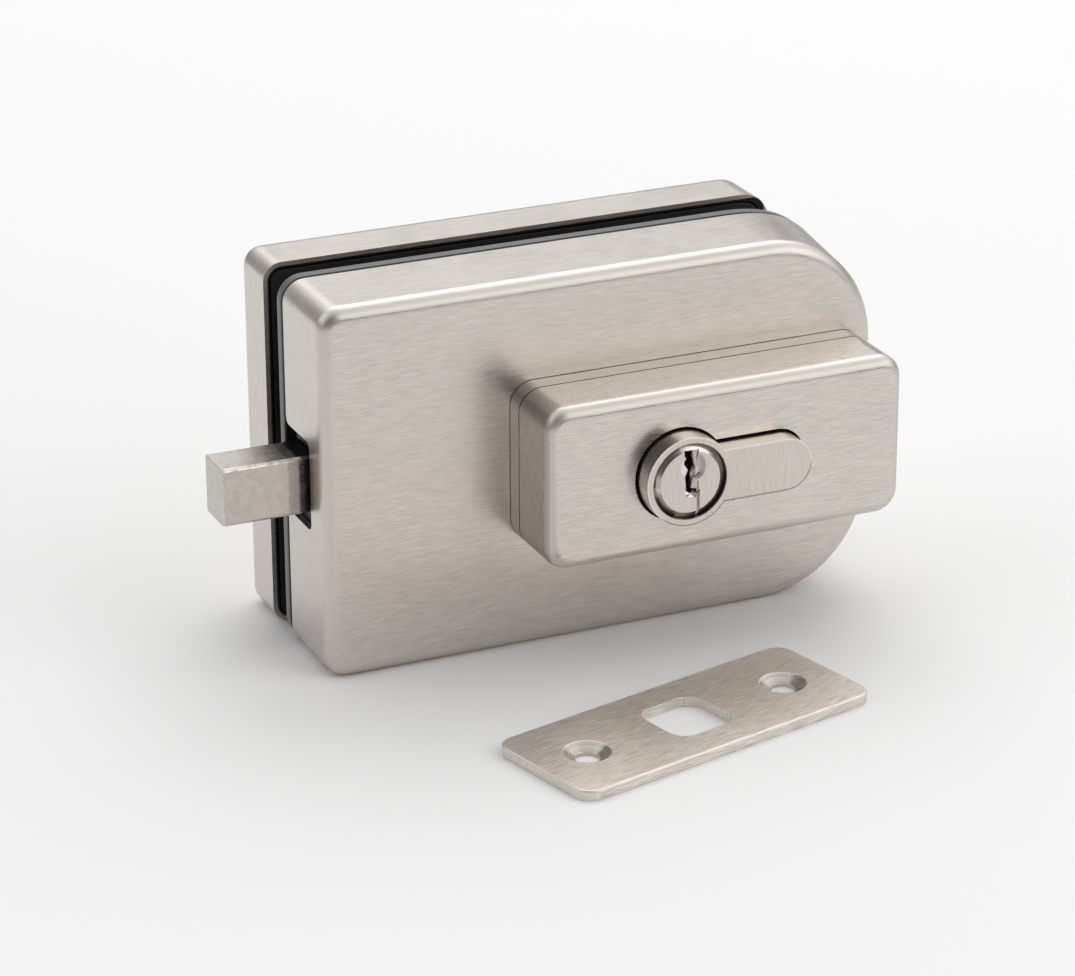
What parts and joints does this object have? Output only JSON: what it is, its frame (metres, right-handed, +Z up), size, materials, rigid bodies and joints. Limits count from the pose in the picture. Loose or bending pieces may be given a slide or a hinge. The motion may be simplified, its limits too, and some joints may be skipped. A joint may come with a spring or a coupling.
{
  "type": "glass door lock",
  "caption": "Surface-mounted lock for a frameless glass door: D-shaped case, counter cover, profile half cylinder in a raised housing, sliding square bolt and loose strike plate.",
  "frame": {"origin": "middle of the case's underside, halfway along the case and halfway through the front cover's depth", "axes": "+X along the case, away from the bolt; +Y from the front face to the glass; +Z up"},
  "size_m": [0.126, 0.1045, 0.071],
  "materials": {
    "satin_steel": "fine brushed satin",
    "satin_nickel": "satin nickel on brass",
    "zinc_casting": "die-cast zinc, plain",
    "black_plate": "black coated steel",
    "screw_steel": "bright zinc-plated",
    "grey_gasket": "matt dark grey",
    "dark_gasket": "matt black",
    "black_plastic": "matt black",
    "pin_brass": "turned"
  },
  "bodies": {
    "root": {"front_cover": "satin_steel", "lock_case": "zinc_casting", "case_lid": "black_plate", "lid_screws": "screw_steel", "front_gasket": "grey_gasket", "rear_gasket": "dark_gasket", "rear_plate": "zinc_casting", "rear_cover": "satin_steel", "clamp_screws": "screw_steel", "clamp_sleeves": "black_plastic", "cover_screws": "screw_steel", "housing_base": "satin_steel", "housing_cover": "satin_steel", "housing_screws": "screw_steel", "cylinder_body": "satin_nickel", "cylinder_screw": "screw_steel", "driver_pins": "screw_steel", "pin_springs": "screw_steel", "pin_caps": "pin_brass", "detent_spring": "screw_steel", "detent_rivets": "screw_steel", "strike_plate": "satin_steel"},
    "plug": {"cylinder_plug": "satin_nickel", "cam": "screw_steel", "circlip": "screw_steel", "key_pins": "pin_brass"},
    "bolt": {"bolt": "satin_nickel", "bolt_carriage": "screw_steel", "carriage_rivets": "screw_steel"}
  },
  "joints": [
    {"name": "plug_turn", "type": "hinge", "parent": "root", "child": "plug", "pos_m": [0.0071, 0, 0.0365], "axis": [0, 1, 0], "range_deg": [0, 360]},
    {"name": "bolt_slide", "type": "slide", "parent": "root", "child": "bolt", "axis": [1, 0, 0], "range_m": [0, 0.016], "deforming": ["detent_spring"]}
  ],
  "couplings": [
    {"joint": "plug_turn", "follows": "bolt_slide", "rad_per_m": 392.7}
  ]
}
